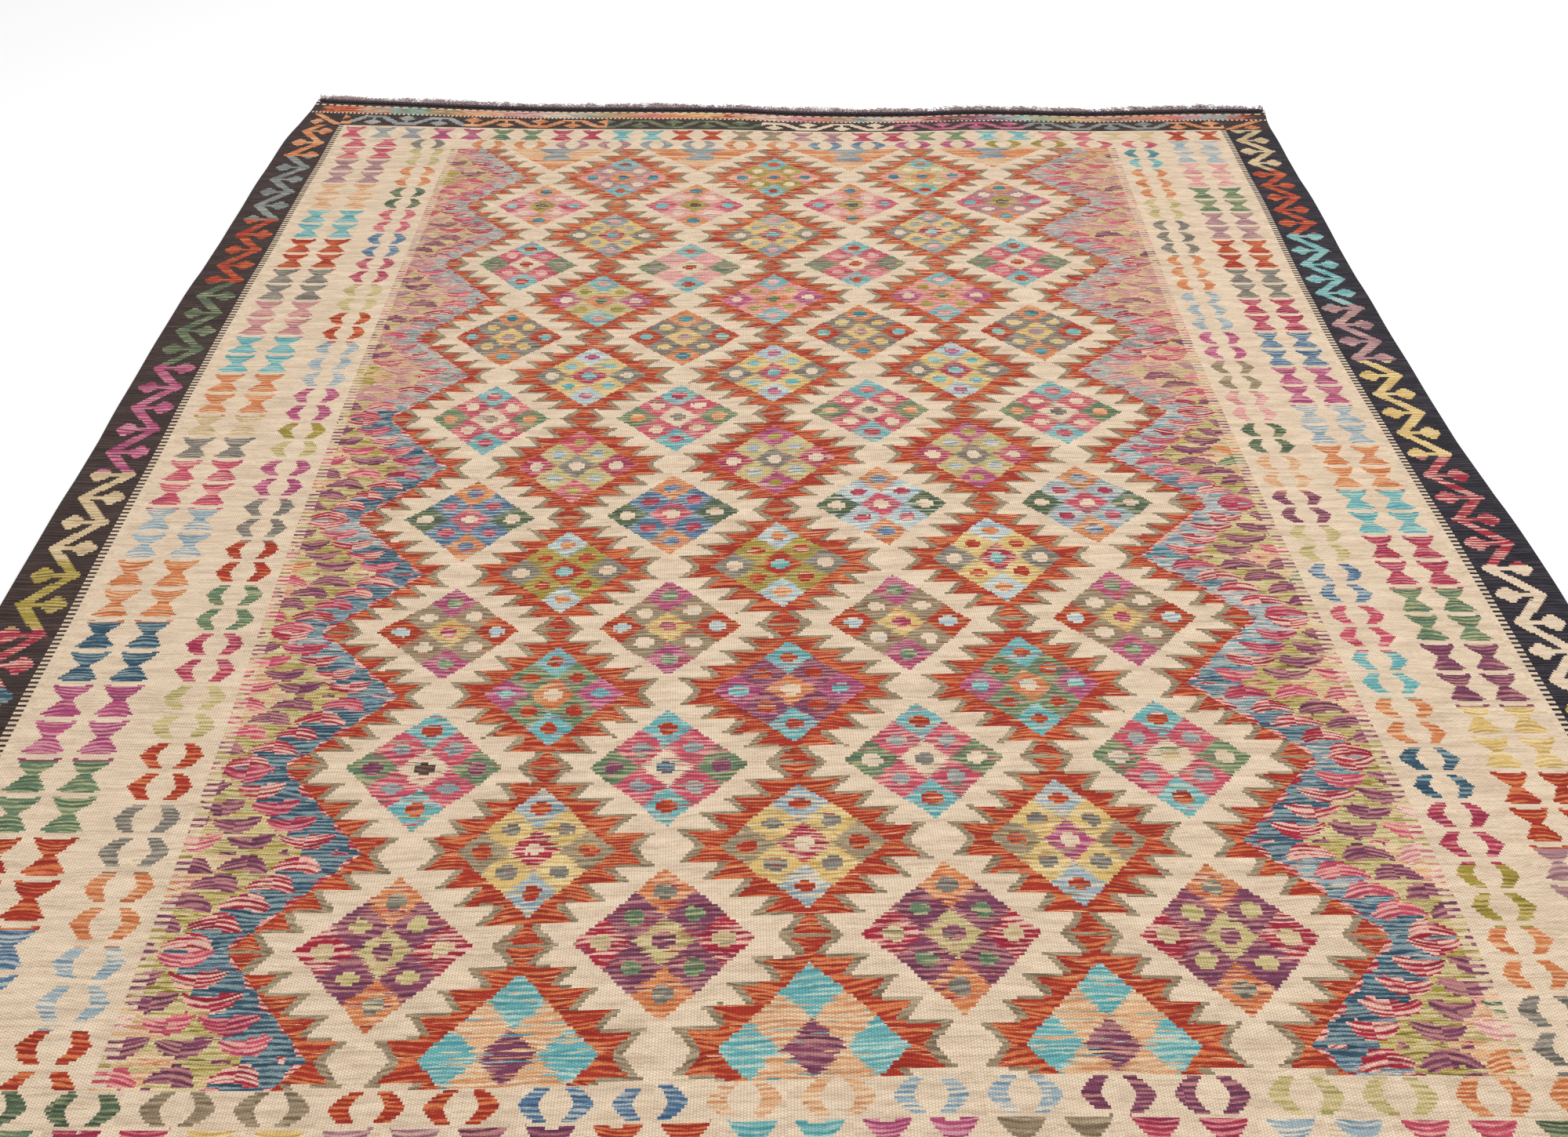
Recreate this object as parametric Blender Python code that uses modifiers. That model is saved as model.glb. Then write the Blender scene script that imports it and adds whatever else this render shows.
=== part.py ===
"""A flat-woven kilim rug, about 2 by 3 metres, lying flat with its underside at z = 0.

The rug is three pieces: the woven panel, and at each end a dark plaited cord with the
short cut warp ends standing out of it. The origin is the middle of the footprint.
+X is across the rug, +Y runs along it towards the far end, and +Z is up.
Every outline is a smooth curve through a short table of the rug's own uneven edges.
"""

import math

import bmesh
import bpy
import numpy as np

MM = 0.001

# Driving dimensions, in metres.
CLOTH_THICKNESS = 3.0 * MM
CORD_WIDTH = 15.0 * MM          # the plaited cord along each end
CORD_HEIGHT = 5.0 * MM
CORD_ROUNDING = 1.6 * MM
GAP = 0.35 * MM                 # between the cloth's end and its cord
LOCK_THICKNESS = 3.0 * MM       # a lock is a bunch of cut warp ends
LOCK_COUNT = 128                # on each end
LOCK_ROOT_SHARE = 0.62          # of the pitch from lock to lock
LOCK_TIP_WIDTH = 2.6 * MM
LOCK_LENGTH = 21.0 * MM         # the mean length
LOCK_LENGTH_SPREAD = 6.5 * MM
LOCK_LEAN = 4.5 * MM            # the most that a tip lies to one side
LOCK_SINK = 6.0 * MM            # how far a root reaches under the cord
END_INSET = 4.0 * MM            # from a selvedge to the first lock
EDGE_STEP = 60.0 * MM           # between two points on an outline

# The selvedges, in millimetres: place along the rug, left edge, right edge.
SELVEDGES = (
    # along  left  right
    (-1500, -994, 1001),
    (-1200, -1000, 1003),
    (-900, -998, 1001),
    (-600, -994, 1005),
    (-400, -992, 1006),
    (-170, -997, 998),
    (40, -1000, 988),
    (240, -1005, 987),
    (640, -1006, 987),
    (840, -1004, 990),
    (1040, -1006, 991),
    (1240, -1002, 993),
    (1340, -995, 995),
    (1420, -989, 1004),
    (1500, -989, 1008),
)

# The outer edge of the far cord, in millimetres: place across the rug, place along it.
# The left corner is pulled out, and the middle is woven tighter.
FAR_EDGE = (
    # across  along
    (-1010, 1473),
    (-900, 1458),
    (-750, 1442),
    (-650, 1430),
    (-500, 1418),
    (-290, 1416),
    (-110, 1412),
    (20, 1395),
    (140, 1390),
    (260, 1392),
    (390, 1405),
    (500, 1402),
    (620, 1395),
    (740, 1403),
    (860, 1411),
    (1010, 1412),
)

# The outer edge of the near cord, in the same way.
NEAR_EDGE = (
    # across  along
    (-1010, -1462),
    (-800, -1466),
    (-550, -1464),
    (-250, -1459),
    (50, -1457),
    (350, -1460),
    (650, -1466),
    (850, -1464),
    (1010, -1460),
)


def smooth_curve(table, column, places):
    """A table column in metres at the given places: Hermite cubics, slopes from neighbours."""
    rows = np.array(table, dtype=float) * MM
    knots, values = rows[:, 0], rows[:, column]
    slopes = np.gradient(values, knots)
    places = np.clip(places, knots[0], knots[-1])
    index = np.clip(np.searchsorted(knots, places, side="right") - 1, 0, len(knots) - 2)
    span = knots[index + 1] - knots[index]
    t = (places - knots[index]) / span
    return ((2 * t**3 - 3 * t**2 + 1) * values[index]
            + (t**3 - 2 * t**2 + t) * span * slopes[index]
            + (3 * t**2 - 2 * t**3) * values[index + 1]
            + (t**3 - t**2) * span * slopes[index + 1])


def left_edge(along):
    return smooth_curve(SELVEDGES, 1, along)


def right_edge(along):
    return smooth_curve(SELVEDGES, 2, along)


def steps(start, end, pitch):
    """Evenly spaced values from start to end, no further apart than the pitch."""
    count = int(math.ceil(abs(end - start) / pitch)) + 1
    return np.linspace(start, end, count)


def corner(edge, edge_of_side, offset):
    """Where an end edge, moved along by the offset, meets a selvedge."""
    across = float(edge_of_side(0.0))
    for _ in range(8):
        along = float(smooth_curve(edge, 1, across)) + offset
        across = float(edge_of_side(along))
    return across, along


def end_line(edge, offset, pitch):
    """Points on an end edge, moved along by the offset, from the left selvedge to the right."""
    left, _ = corner(edge, left_edge, offset)
    right, _ = corner(edge, right_edge, offset)
    across = steps(left, right, pitch)
    return list(zip(across, smooth_curve(edge, 1, across) + offset))


def flat_solid(name, outline, thickness):
    """The outline as a filled 2D curve, extruded up from z = 0 and made a closed mesh."""
    curve = bpy.data.curves.new(name, "CURVE")
    curve.dimensions = "2D"
    curve.fill_mode = "BOTH"
    curve.extrude = thickness / 2
    spline = curve.splines.new("POLY")
    spline.points.add(len(outline) - 1)
    for point, (x, y) in zip(spline.points, outline):
        point.co = (x, y, 0.0, 1.0)
    spline.use_cyclic_u = True
    drawn = bpy.data.objects.new(name + "_outline", curve)
    drawn.location.z = thickness / 2
    bpy.context.scene.collection.objects.link(drawn)
    return as_mesh(drawn, name)


def as_mesh(drawn, name):
    """The curve object's evaluated shape as a mesh object, with its caps welded on."""
    bpy.context.view_layer.update()
    evaluated = drawn.evaluated_get(bpy.context.evaluated_depsgraph_get())
    mesh = bpy.data.meshes.new_from_object(evaluated)
    mesh.name = name
    solid = bpy.data.objects.new(name, mesh)
    bpy.context.scene.collection.objects.link(solid)
    shape = bmesh.new()
    shape.from_mesh(mesh)
    bmesh.ops.transform(shape, matrix=drawn.matrix_world, verts=shape.verts)
    bmesh.ops.remove_doubles(shape, verts=shape.verts, dist=0.01 * MM)
    bmesh.ops.recalc_face_normals(shape, faces=shape.faces)
    shape.to_mesh(mesh)
    shape.free()
    curve = drawn.data
    bpy.data.objects.remove(drawn)
    bpy.data.curves.remove(curve)
    return solid


def apply_modifiers(solid):
    """Bake the solid's modifiers into its mesh."""
    bpy.context.view_layer.update()
    evaluated = solid.evaluated_get(bpy.context.evaluated_depsgraph_get())
    finished = bpy.data.meshes.new_from_object(evaluated)
    solid.modifiers.clear()
    solid.data = finished


def woven_panel():
    """The cloth: one flat sheet between the selvedges and the two cords' inner edges."""
    inset = CORD_WIDTH + GAP
    near = end_line(NEAR_EDGE, inset, EDGE_STEP)
    far = end_line(FAR_EDGE, -inset, EDGE_STEP)
    right_along = steps(near[-1][1], far[-1][1], EDGE_STEP)[1:-1]
    left_along = steps(far[0][1], near[0][1], EDGE_STEP)[1:-1]
    right = list(zip(right_edge(right_along), right_along))
    left = list(zip(left_edge(left_along), left_along))
    return flat_solid("kilim", near + right + far[::-1] + left, CLOTH_THICKNESS)


def lock_outline(root, pitch, number, edge, outward):
    """Four corners of one lock, tapered, uneven in length and leaning to one side."""
    wave = math.sin(2.4 * number) + 0.6 * math.sin(5.1 * number + 1.3)
    length = LOCK_LENGTH + LOCK_LENGTH_SPREAD * wave / 1.6
    lean = LOCK_LEAN * math.sin(3.7 * number + 0.8)
    half_root = pitch * LOCK_ROOT_SHARE / 2
    half_tip = LOCK_TIP_WIDTH / 2
    base = float(smooth_curve(edge, 1, root))
    tip = base + outward * length
    root_line = base - outward * LOCK_SINK / 2
    return [(root - half_root, root_line), (root + lean - half_tip, tip),
            (root + lean + half_tip, tip), (root + half_root, root_line)]


def locks(name, edge, outward):
    """All the locks of one end as one comb, on a narrow back that lies under the cord."""
    left, _ = corner(edge, left_edge, 0.0)
    right, _ = corner(edge, right_edge, 0.0)
    span = (right - left) - 2 * END_INSET
    pitch = span / LOCK_COUNT
    roots = left + END_INSET + pitch * (np.arange(LOCK_COUNT) + 0.5)
    teeth = []
    for number, root in enumerate(roots):
        teeth += lock_outline(float(root), pitch, number, edge, outward)
    across = steps(right - END_INSET, left + END_INSET, EDGE_STEP)
    back = smooth_curve(edge, 1, across) - outward * LOCK_SINK
    return flat_solid(name, teeth + list(zip(across, back)), LOCK_THICKNESS)


def end_cord(name, edge, outward):
    """The plaited cord as a flat bar along the end, rounded along its top."""
    outer = end_line(edge, 0.0, EDGE_STEP)
    inner = end_line(edge, -outward * CORD_WIDTH, EDGE_STEP)
    bar = flat_solid(name, outer + inner[::-1], CORD_HEIGHT)
    top = bar.data.attributes.new("bevel_weight_edge", "FLOAT", "EDGE")
    heights = [vertex.co.z for vertex in bar.data.vertices]
    border = border_edges(bar.data)
    for edge_of_bar in bar.data.edges:
        a, b = edge_of_bar.vertices
        is_top = min(heights[a], heights[b]) > CORD_HEIGHT / 2
        top.data[edge_of_bar.index].value = float(is_top and edge_of_bar.key in border)
    rounding = bar.modifiers.new("rounding", "BEVEL")
    rounding.limit_method = "WEIGHT"
    rounding.width = CORD_ROUNDING
    rounding.segments = 2
    rounding.use_clamp_overlap = False
    apply_modifiers(bar)
    return bar


def border_edges(mesh):
    """The edges where a level face meets an upright one."""
    level_by_edge = {}
    for face in mesh.polygons:
        for key in face.edge_keys:
            level_by_edge.setdefault(key, []).append(abs(face.normal.z) > 0.5)
    return {key for key, levels in level_by_edge.items() if len(set(levels)) == 2}


def fringed_end(name, edge, outward):
    """One end's finish: the cord with its locks, joined into one solid."""
    cord = end_cord(name, edge, outward)
    comb = locks(name + "_locks", edge, outward)
    union = cord.modifiers.new("locks", "BOOLEAN")
    union.operation = "UNION"
    union.solver = "EXACT"
    union.object = comb
    apply_modifiers(cord)
    bpy.data.objects.remove(comb)
    return cord


def finish(solid, material_name, color, roughness):
    """Give the solid its own wool material."""
    material = bpy.data.materials.new(material_name)
    material.use_nodes = True
    shader = material.node_tree.nodes["Principled BSDF"]
    shader.inputs["Base Color"].default_value = (*color, 1.0)
    shader.inputs["Roughness"].default_value = roughness
    shader.inputs["Metallic"].default_value = 0.0
    solid.data.materials.clear()
    solid.data.materials.append(material)


def clear_scene():
    for old in list(bpy.data.objects):
        bpy.data.objects.remove(old)


def build():
    clear_scene()
    rug = bpy.data.collections.new("kilim_rug")
    bpy.context.scene.collection.children.link(rug)
    panel = woven_panel()
    far_end = fringed_end("far_end_fringe", FAR_EDGE, 1)
    near_end = fringed_end("near_end_fringe", NEAR_EDGE, -1)
    finish(panel, "woven_wool", (0.56, 0.38, 0.27), 0.9)
    finish(far_end, "far_cord_wool", (0.07, 0.045, 0.05), 0.9)
    finish(near_end, "near_cord_wool", (0.07, 0.045, 0.05), 0.9)
    for solid in (panel, far_end, near_end):
        bpy.context.scene.collection.objects.unlink(solid)
        rug.objects.link(solid)


build()
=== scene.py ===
"""A flat-woven wool kilim, about 2 by 3 metres, lying on a pale studio floor.

The cloth is one closed sheet. Its pattern is set out in an ideal plan in millimetres, u
across and v along with the middle at 0, and short guide tables bend the plan to the rug's
hand-woven shape. Lozenges, toothed bands, flames, hourglasses, brackets and vines are
worked out in the wool materials from that plan. Each end has a plaited dark cord and the
frizzy cut warp ends.
"""
import math

import bpy
import numpy as np
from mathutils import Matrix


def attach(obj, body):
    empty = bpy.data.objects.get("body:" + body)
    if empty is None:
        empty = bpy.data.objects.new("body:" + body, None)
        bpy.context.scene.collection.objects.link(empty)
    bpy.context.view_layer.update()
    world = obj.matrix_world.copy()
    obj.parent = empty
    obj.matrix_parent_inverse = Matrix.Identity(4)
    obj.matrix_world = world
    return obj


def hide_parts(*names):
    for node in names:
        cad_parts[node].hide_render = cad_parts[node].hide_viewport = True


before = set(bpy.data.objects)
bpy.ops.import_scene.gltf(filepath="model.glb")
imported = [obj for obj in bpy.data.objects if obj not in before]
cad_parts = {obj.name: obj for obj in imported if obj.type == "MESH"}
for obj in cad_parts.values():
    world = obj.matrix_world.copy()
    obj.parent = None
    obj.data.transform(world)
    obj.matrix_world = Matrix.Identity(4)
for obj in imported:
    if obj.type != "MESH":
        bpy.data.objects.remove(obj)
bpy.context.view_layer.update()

MM = 0.001

# ---------------------------------------------------------------- the plan, in millimetres
HALF_WIDTH = 1000.0             # the selvedge
FIELD_END = 1195.0              # where the field stops and the end borders begin
CLOTH_END = 1421.65             # where the cloth meets the cord
CLOTH_THICKNESS = 3.0
WARP = 2.96875                  # from one warp rib to the next
BEAD = 3.3                      # from one bead of weft to the next along a rib
YARN_PASS = 7.0                 # from one pale pass of yarn to the next
STEP_V = 4.6                    # a stair in a slanted edge
PITCH_U = 285.0                 # between lozenges of one row
PITCH_V = 276.0                 # between two rows of one kind
ROW = PITCH_V / 10              # a tooth, and a flame
OPEN_ROW = 1185.0               # the first row of lozenges in the open spaces
BAND_ROW = 1047.0               # the first row within the toothed bands
OPEN_HALF = (91.0, 104.0)       # half a lozenge in an open space, across and along
BAND_HALF = (88.0, 101.0)       # half a lozenge within a band
LOZENGE_SIDE = 2 * PITCH_U      # the outer side of the outermost lozenges
LOZENGE_REACH = 575.0           # with a little room for their wavy edges
TOOTH_REACH = 112.0             # from a band's middle to the foot of its first tooth
TOOTH_STEP = 24.5               # how much less each next tooth reaches
TOOTH_SHADOW = 10.0             # the taupe line down each tooth
FLAME_FOOT = 475.0              # where the zigzag reaches furthest in
ZIGZAG = 110 / 138              # its way across for each millimetre along
FLAME_PITCH = 58.0              # between two columns of flames
INNER_COMB = 652.0              # where the comb between flames and ivory begins
FIELD_SIDE = 667.0              # and where it ends
BRACKET_COLUMN = 715.0
HOURGLASS_COLUMN = 830.0        # halfway between the two columns
HOURGLASS_OFFSET = 29.0         # from there to each of them
IVORY_SIDE = 893.0              # where the ivory border's grid ends
OUTER_COMB = 901.0              # where the comb between ivory and dark begins
DARK_SIDE = 911.0               # and where it ends
VINE_LINE = 951.0
COMB_PITCHES = (9.5, 9.6)       # of the inner comb and of the outer one
# The end borders, from the field's end.
END_BRACKETS = 24.0
END_HOURGLASSES = (47.0, 110.0)
END_VINE_LINE = 144.5
STRIPED_BAND = (180.0, 214.0)
FINE_DOTS = (174.0, 180.0)
COARSE_DOTS = (211.0, 217.0)

# ------------------------------------------------------------------------ the rug's shape
# The selvedges: along, left, right.
SELVEDGES = np.array((
    (-1500, -994, 1001), (-1200, -1000, 1003), (-900, -998, 1001), (-600, -994, 1005),
    (-400, -992, 1006), (-170, -997, 998), (40, -1000, 988), (240, -1005, 987),
    (640, -1006, 987), (840, -1004, 990), (1040, -1006, 991), (1240, -1002, 993),
    (1340, -995, 995), (1420, -989, 1004), (1500, -989, 1008)), float)
# The outer edge of each end cord: across, along.
FAR_EDGE = np.array((
    (-1010, 1473), (-900, 1458), (-750, 1442), (-650, 1430), (-500, 1418), (-290, 1416),
    (-110, 1412), (20, 1395), (140, 1390), (260, 1392), (390, 1405), (500, 1402),
    (620, 1395), (740, 1403), (860, 1411), (1010, 1412)), float)
NEAR_EDGE = np.array((
    (-1010, -1462), (-800, -1466), (-550, -1464), (-250, -1459), (50, -1457),
    (350, -1460), (650, -1466), (850, -1464), (1010, -1460)), float)
CORD_WIDTH = 15.0
CORD_GAP = 0.35
# How far the weaver's columns lie from the plan: plan v, then the place across of each u.
COLUMNS_U = np.array((-902, -715, -427.5, -142.5, 142.5, 427.5, 715, 902))
COLUMNS = np.array((
    (-1437, -883, -683, -389, -107, 185, 460, 751, 917),
    (-1023, -879, -681, -391, -112, 181.5, 458.3, 751, 919),
    (-747, -885, -688, -397.4, -124.3, 168.9, 447, 742, 914),
    (-195, -894, -703.5, -423.5, -149, 141.4, 424, 720.5, 897),
    (357, -903, -710, -442.5, -157.5, 129, 412.5, 706, 880),
    (909, -903, -709, -448, -165, 127, 409, 707, 888),
    (1437, -903, -707, -448, -165, 127, 409, 710, 890)))
# How far each row lies from its plan place, at the four columns of lozenges.
ROWS_U = np.array((-427.5, -142.5, 142.5, 427.5))
ROWS = np.array((
    (-1195, -50, -39, -27, -27), (-1023, -42, -23, -11.4, -16),
    (-747, -26.4, -22, -6.6, -2), (-471, -36, -20.5, -7, 4.3),
    (-195, -42, -24.5, 3, 7.3), (81, -29, -21.5, 1, -1.5), (357, -27.5, -25, -6, -5),
    (633, -16, -31, -11, -1), (909, -28.3, -24.7, -19.3, -1.3),
    (1195, -15.5, -16.5, -21, -8)))
# --------------------------------------------------------------------------------- dyes
# Each wool: its main colour, and the colours of the pale and the dark streaks in it.
DYES = {
    "ivory": ("D9C4AA", "CBB399", "BEA78D"), "turquoise": ("64A0A1", "B4C3B5", "448289"),
    "teal": ("39717C", "79A19F", "28515D"), "light_blue": ("93A1A6", "DAC8B0", "5F7B8C"),
    "blue": ("526D88", "B2B6AE", "334B66"), "navy": ("36505F", "889999", "23394C"),
    "grey_blue": ("848C8E", "BEAE9A", "5E666D"), "green": ("60755A", "AEA97E", "40543F"),
    "dark_green": ("4E5C46", "969574", "35422F"), "olive": ("968336", "C1AA6F", "6C5C2A"),
    "gold": ("CBAB6B", "DCC79C", "A8864C"), "light_olive": ("B8A875", "CEBA93", "8E824A"),
    "peach": ("CFA27A", "D8C3A4", "B67952"), "orange": ("C2784A", "DBB38C", "A3502D"),
    "rust": ("9C3023", "D07C4C", "7E2820"), "crimson": ("A03346", "CF898A", "782541"),
    "rose": ("B74A5B", "DBA296", "8C3149"), "pink": ("CC918A", "E1C0AF", "AF686E"),
    "magenta": ("A34669", "CE949B", "742F51"), "purple": ("743D55", "B57F79", "512B3D"),
    "mauve": ("9C7579", "C9A495", "78515A"), "taupe": ("8D7A62", "AA9A7E", "685743"),
    "grey": ("776F66", "A59B8A", "544D44"), "brown": ("49382F", "76604E", "30261D"),
    "tan": ("C0A782", "D5C19D", "9C835F"), "pale_blue": ("A9B7B6", "DACFB8", "5E82A0"),
    "warm_dark": ("3B2D2A", "4E3F39", "281E1B"), "cool_dark": ("27242B", "423B41", "18161B"),
    "slate": ("74797A", "A6A594", "545A5E"), "flame": ("9C2638", "E4BAA8", "74202F"),
    "pastel_rose": ("CA8884", "DEBC8A", "A55C66"),
    "pastel_mauve": ("B47F80", "DAAC94", "87535F"),
}
DYE_NAMES = list(DYES)


def dye_place(name):
    """Where a dye sits on the ramps of dyes, from 0 to 1."""
    return (DYE_NAMES.index(name) + 0.5) / len(DYE_NAMES)


def linear(code):
    """A hex colour as linear RGBA."""
    parts = [int(code[i:i + 2], 16) / 255 for i in (0, 2, 4)]
    return [c / 12.92 if c <= 0.04045 else ((c + 0.055) / 1.055) ** 2.4
            for c in parts] + [1.0]


# -------------------------------------------------------------------- the chart of colours
# Rows of lozenges from the far end: fills, then eyes, of the tip, side, edge and middle
# parts of each lozenge. "-" is no eye.
LOZENGE_ROWS = (
    ("orange grey_blue peach orange", "- - - -"),
    ("turquoise pastel_rose light_olive orange", "rust teal ivory navy"),
    ("orange rose pink olive", "teal turquoise ivory brown"),
    ("grey_blue grey gold flame", "pink ivory grey_blue turquoise"),
    ("turquoise green rose ivory", "rust grey pink rust"),
    ("turquoise magenta pastel_rose orange", "pink ivory olive dark_green"),
    ("orange rust grey gold", "teal turquoise gold mauve"),
    ("pale_blue grey gold crimson", "magenta ivory turquoise turquoise"),
    ("turquoise green rose ivory", "crimson orange ivory grey"),
    ("magenta crimson light_olive grey", "olive ivory light_blue ivory"),
    ("orange dark_green blue rose", "blue ivory crimson ivory"),
    ("pale_blue grey olive rust", "orange ivory rust turquoise"),
    ("magenta rust taupe gold", "green pale_blue ivory crimson"),
    ("turquoise magenta green orange", "rust turquoise rust ivory"),
    ("turquoise green rose ivory", "rust purple grey_blue brown"),
    ("light_blue taupe gold flame", "rust rust grey ivory"),
    ("orange flame purple light_olive", "grey tan light_olive purple"),
    ("turquoise turquoise peach purple", "- - - -"),
)
# What differs in single lozenges: row, column, part (0 to 3) and dye.
FILL_CHANGES = (
    (10, 2, 2, "pale_blue"), (10, 3, 2, "light_blue"), (11, 3, 2, "gold"),
    (11, 3, 3, "flame"), (13, 2, 2, "purple"), (15, 1, 2, "gold"), (15, 3, 3, "magenta"),
    (16, 0, 2, "purple"), (16, 0, 0, "orange"), (16, 3, 0, "orange"), (1, 2, 2, "olive"),
    (1, 1, 2, "mauve"), (5, 1, 2, "light_olive"), (9, 1, 0, "rose"), (4, 1, 2, "pink"),
    (2, 3, 2, "mauve"),
)
EYE_CHANGES = (
    (14, 0, 1, "purple"), (14, 2, 3, "grey"), (14, 3, 3, "tan"), (14, 1, 3, "navy"),
    (14, 2, 1, "ivory"), (14, 3, 1, "ivory"), (16, 1, 2, "green"), (16, 2, 2, "green"),
)


def chart(text, usual=2):
    """Dyes and their numbers from "rose tan:1"; a dye without a number has the usual one."""
    entries = (entry.partition(":") for entry in text.split())
    return [(name, float(number or usual)) for name, _, number in entries]


# The flames: dye, and where it starts, for the boats and for the bands between them. The
# whole number is how many columns of boats out from the zigzag.
NEAR_BOATS = chart(
    "flame:0 crimson:0.45 rose:0.65 flame:0.8 purple:1 rose:1.5 purple:1.65 rose:2 "
    "purple:2.3 green:2.65 orange:2.75 pink:2.85 purple:3 olive:3.5")
NEAR_BANDS = chart(
    "teal:0 light_blue:0.2 grey_blue:0.48 teal:0.62 blue:0.68 navy:0.77 light_olive:1 "
    "olive:1.3 light_olive:1.5 gold:1.8 pastel_rose:2 peach:2.25 light_olive:2.5 "
    "olive:2.8 light_olive:3 olive:3.5")
FAR_BOATS = chart(
    "flame:0 pastel_mauve:0.3 orange:0.6 rose:0.75 purple:1 rose:1.3 pastel_mauve:1.6 "
    "pastel_rose:2 mauve:2.3 olive:2.6 pastel_mauve:2.75 purple:3 taupe:3.5")
FAR_BANDS = chart(
    "slate:0 light_blue:0.25 tan:0.45 grey_blue:0.55 light_blue:0.8 light_olive:1 "
    "pastel_rose:1.4 light_olive:1.6 peach:2 light_olive:2.35 pastel_mauve:2.7 olive:2.9 "
    "light_olive:3 peach:3.5")

# Runs of colour down each side border, from the far end: dye and how many motifs.
LEFT_HOURGLASSES = chart(
    "rose mauve peach turquoise rust grey pastel_mauve turquoise orange tan:1 grey:1 rose "
    "light_blue orange navy magenta green rust blue:4")
LEFT_BRACKETS = chart(
    "light_olive orange dark_green rose blue crimson light_olive rust light_blue:3 "
    "magenta olive:1 light_olive:1 magenta grey rust green crimson light_olive rust grey "
    "orange light_blue rust:4")
RIGHT_HOURGLASSES = chart(
    "light_blue pink green mauve rust grey crimson blue magenta light_blue orange "
    "turquoise crimson green purple gold rust mauve:4")
RIGHT_BRACKETS = chart(
    "teal:1 turquoise:1 orange:3 light_olive grey:3 orange:3 light_blue:3 magenta taupe "
    "pink dark_green peach purple light_olive blue rose turquoise orange navy crimson "
    "olive orange grey:4")
LEFT_VINE = chart(
    "orange:1 slate:2.4 rust:2.15 dark_green:2.35 magenta:2.45 tan:1.85 olive:1.1 flame:1 "
    "navy:1.8 gold:1.9 orange:9")
RIGHT_VINE = chart(
    "tan:1.8 rust:2.55 turquoise:2.45 mauve:1.7 gold:2.5 flame:2.4 ivory:2.5 olive:1.9 "
    "rose:2.1 light_blue:9")
# Across each end, from the left.
FAR_BRACKETS = chart("grey:1 orange mauve grey_blue orange blue magenta olive rose:4")
FAR_HOURGLASSES = chart(
    "rose grey_blue magenta green crimson turquoise rust taupe mauve crimson green "
    "turquoise rose tan rust:4")
NEAR_BRACKETS = chart(
    "dark_green:1 taupe rust blue peach light_blue purple light_olive orange:4")
NEAR_HOURGLASSES = chart(
    "mauve green crimson gold mauve purple rust turquoise magenta taupe crimson "
    "light_blue rose dark_green gold:6")
FAR_VINE = chart(
    "orange:0.6 grey_blue:1.75 orange:2.15 dark_green:2.3 ivory:1.9 magenta slate:2.1 "
    "orange:9")
NEAR_VINE = chart("navy gold rose turquoise orange light_olive magenta ivory:9")
END_BAND = chart(
    "rust orange turquoise green orange peach magenta ivory grey_blue olive rose orange "
    "gold rust ivory magenta orange teal ivory rose brown magenta turquoise olive peach "
    "purple orange rose turquoise rust", 1)

# Where the motifs of each border fall: place on the rug, motifs counted so far. For the
# sides: hourglasses, brackets, vine. For the ends: brackets, hourglasses, vine.
LEFT_BEATS = (
    ((1250, 0), (862, 6), (466, 12), (65, 18), (-338, 24), (-753, 30), (-1300, 38)),
    ((1193.5, 0), (-1273, 45)),
    ((1274, 0), (-1300, 19.45)))
RIGHT_BEATS = (
    ((1232, 0), (-896, 34), (-1270, 40)),
    ((1181.5, 0), (47.5, 22), (-1212.7, 48)),
    ((1290, 0), (137.5, 9.5), (-601, 15.5), (-1300, 21.2)))
FAR_BEATS = (
    ((-712, 0.5), (-670, 1), (-634, 1), (-592, 1.5), (166, 10.5), (711, 16.5)),
    ((-814, 2.5), (219, 19.5), (858, 29.5)),
    ((-985, 0), (985, 14.3)))
NEAR_BEATS = (
    ((-629, 0.5), (662, 15.5)),
    ((-18, 14.5), (408, 21.5)),
    ((-985, 0), (985, 14.3)))


# ------------------------------------------------------------------ bending plan to rug
def between_knots(knots, places):
    """For each place: the knot before it, the span to the next, and the share gone."""
    places = np.clip(places, knots[0], knots[-1])
    index = np.clip(np.searchsorted(knots, places, side="right") - 1, 0, len(knots) - 2)
    span = knots[index + 1] - knots[index]
    return index, span, (places - knots[index]) / span


def hermite(span, t, start, end, start_slope, end_slope):
    """The Hermite cubic from one knot to the next, which has both values and both slopes."""
    return ((2 * t**3 - 3 * t**2 + 1) * start
            + (t**3 - 2 * t**2 + t) * span * start_slope
            + (3 * t**2 - 2 * t**3) * end
            + (t**3 - t**2) * span * end_slope)


def smooth_curve(knots, values, places):
    """A smooth line through a short table: Hermite cubics, slopes from the neighbours.

    values may have one column for each of several lines; places is any array.
    """
    slopes = np.gradient(values, knots, axis=0)
    index, span, t = between_knots(knots, places)
    if values.ndim > 1:
        span, t = span[..., None], t[..., None]
    return hermite(span, t, values[index], values[index + 1], slopes[index], slopes[index + 1])


def across_table(knots, rows, places):
    """Each row of values read at its own place, along the same smooth line as above."""
    slopes = np.gradient(rows, knots, axis=1)
    index, span, t = between_knots(knots, places)
    line = np.arange(len(rows))
    return hermite(span, t, rows[line, index], rows[line, index + 1],
                   slopes[line, index], slopes[line, index + 1])


def selvedge(side, along):
    return smooth_curve(SELVEDGES[:, 0], SELVEDGES[:, 1 if side < 0 else 2], along)


def end_edge(table, across, inset):
    return smooth_curve(table[:, 0], table[:, 1], across) + inset


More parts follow.
